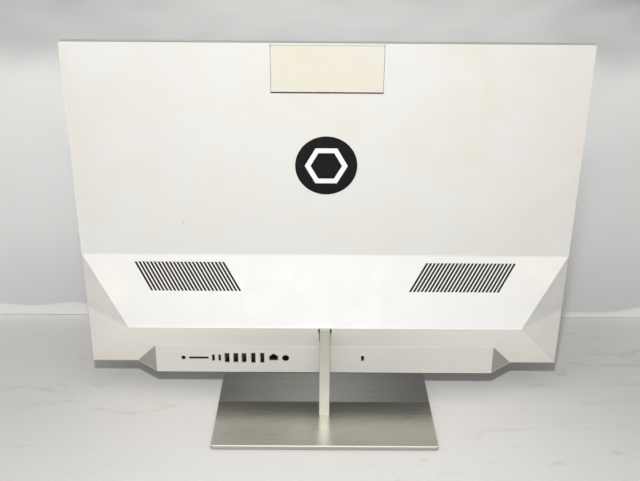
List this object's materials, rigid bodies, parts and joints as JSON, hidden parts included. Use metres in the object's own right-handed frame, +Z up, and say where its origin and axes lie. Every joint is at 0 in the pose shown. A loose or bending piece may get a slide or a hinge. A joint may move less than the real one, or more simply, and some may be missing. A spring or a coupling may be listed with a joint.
{
  "type": "all-in-one computer",
  "caption": "All-in-one desktop computer: slim display with a faceted electronics bulge, pop-up webcam, rear sockets and a bar stand with a friction tilt hinge.",
  "frame": {"origin": "on the ground, under the middle of the base plate", "axes": "+Z up, screen faces -Y, +X to the right of a person who looks at the screen"},
  "size_m": [0.614, 0.184, 0.4728],
  "materials": {
    "cover_white": "fine satin moulded plastic, slightly aged",
    "cap_cream": "satin moulded plastic, yellowed with age",
    "badge_gloss": "polished black disc",
    "chin_silver": "silver painted moulding",
    "plate_metal": "satin dark anodised plate with a bright bevel",
    "neck_metal": "bead blasted bar",
    "frame_metal": "grey beige painted frame",
    "pad_rubber": "dull rubber sheet",
    "steel": "plain zinc plated steel",
    "socket_metal": "nickel plated sheet",
    "black_plastic": "black moulded plastic",
    "lock_steel": "plain steel plate",
    "indicator_lens": "clear light pipe",
    "screen_glass": "dark glossy cover glass",
    "lens_glass": "coated lens",
    "grille_fabric": "woven grey cloth",
    "panel_dark": "dark panel, switched off",
    "clear_acrylic": "clear moulding",
    "board_green": "solder resist",
    "chip_black": "moulded packages",
    "copper": "bare copper",
    "fin_aluminium": "thin bare fins",
    "cell_steel": "plain can",
    "foil": "thin foil"
  },
  "bodies": {
    "stand": {"base_plate": "plate_metal", "base_pad": "pad_rubber", "neck": "neck_metal", "base_screws": "steel", "hinge_shaft": "steel", "shaft_nuts": "steel"},
    "display": {"rear_cover": "cover_white", "badge": "badge_gloss", "io_cover": "chin_silver", "usb_c_ports": "socket_metal", "usb_a_ports": "socket_metal", "hdmi_ports": "socket_metal", "lan_port": "socket_metal", "card_reader": "socket_metal", "audio_jack": "black_plastic", "dc_inlet": "black_plastic", "indicator": "indicator_lens", "lock_plate": "lock_steel", "button_bezel": "black_plastic", "button_board": "board_green", "middle_frame": "frame_metal", "display_glass": "screen_glass", "speaker_grille": "grille_fabric", "lcd_panel": "panel_dark", "light_guide": "clear_acrylic", "led_bar": "clear_acrylic", "chassis_plate": "steel", "speaker_left": "black_plastic", "speaker_right": "black_plastic", "mainboard": "board_green", "power_board": "board_green", "board_posts": "steel", "board_screws": "steel", "board_chips": "chip_black", "memory_modules": "board_green", "solid_state_drive": "board_green", "wireless_card": "board_green", "antennas": "foil", "coin_cell": "cell_steel", "processor_plate": "copper", "heat_pipe": "copper", "cooling_fins": "fin_aluminium", "fan_housing": "black_plastic", "friction_barrels": "steel", "hinge_bracket": "steel", "bracket_screws": "steel", "display_cable": "foil", "webcam_guides": "steel", "webcam_latch": "black_plastic"},
    "power_key": {"power_button": "black_plastic"},
    "input_key": {"input_button": "black_plastic"},
    "fan": {"fan_rotor": "black_plastic"},
    "webcam": {"camera_housing": "black_plastic", "camera_window": "screen_glass", "camera_lenses": "lens_glass", "camera_board": "board_green", "camera_back_plate": "cap_cream", "camera_cap": "frame_metal"}
  },
  "joints": [
    {"name": "tilt", "type": "hinge", "parent": "stand", "child": "display", "pos_m": [0, -0.00691, 0.12099], "axis": [-1, 0, 0], "range_deg": [-10.5, 19.5]},
    {"name": "webcam_slide", "type": "slide", "parent": "display", "child": "webcam", "axis": [0, 0.0958, 0.9954], "range_m": [0, 0.028]},
    {"name": "power_press", "type": "slide", "parent": "display", "child": "power_key", "axis": [0, 0.0958, 0.9954], "range_m": [0, 0.0008], "stiffness_N_per_m": 800},
    {"name": "input_press", "type": "slide", "parent": "display", "child": "input_key", "axis": [0, 0.0958, 0.9954], "range_m": [0, 0.0008], "stiffness_N_per_m": 800},
    {"name": "fan_spin", "type": "hinge", "parent": "display", "child": "fan", "pos_m": [-0.152, -0.03587, 0.12277], "axis": [0, 0.9954, -0.0958], "continuous": true}
  ]
}
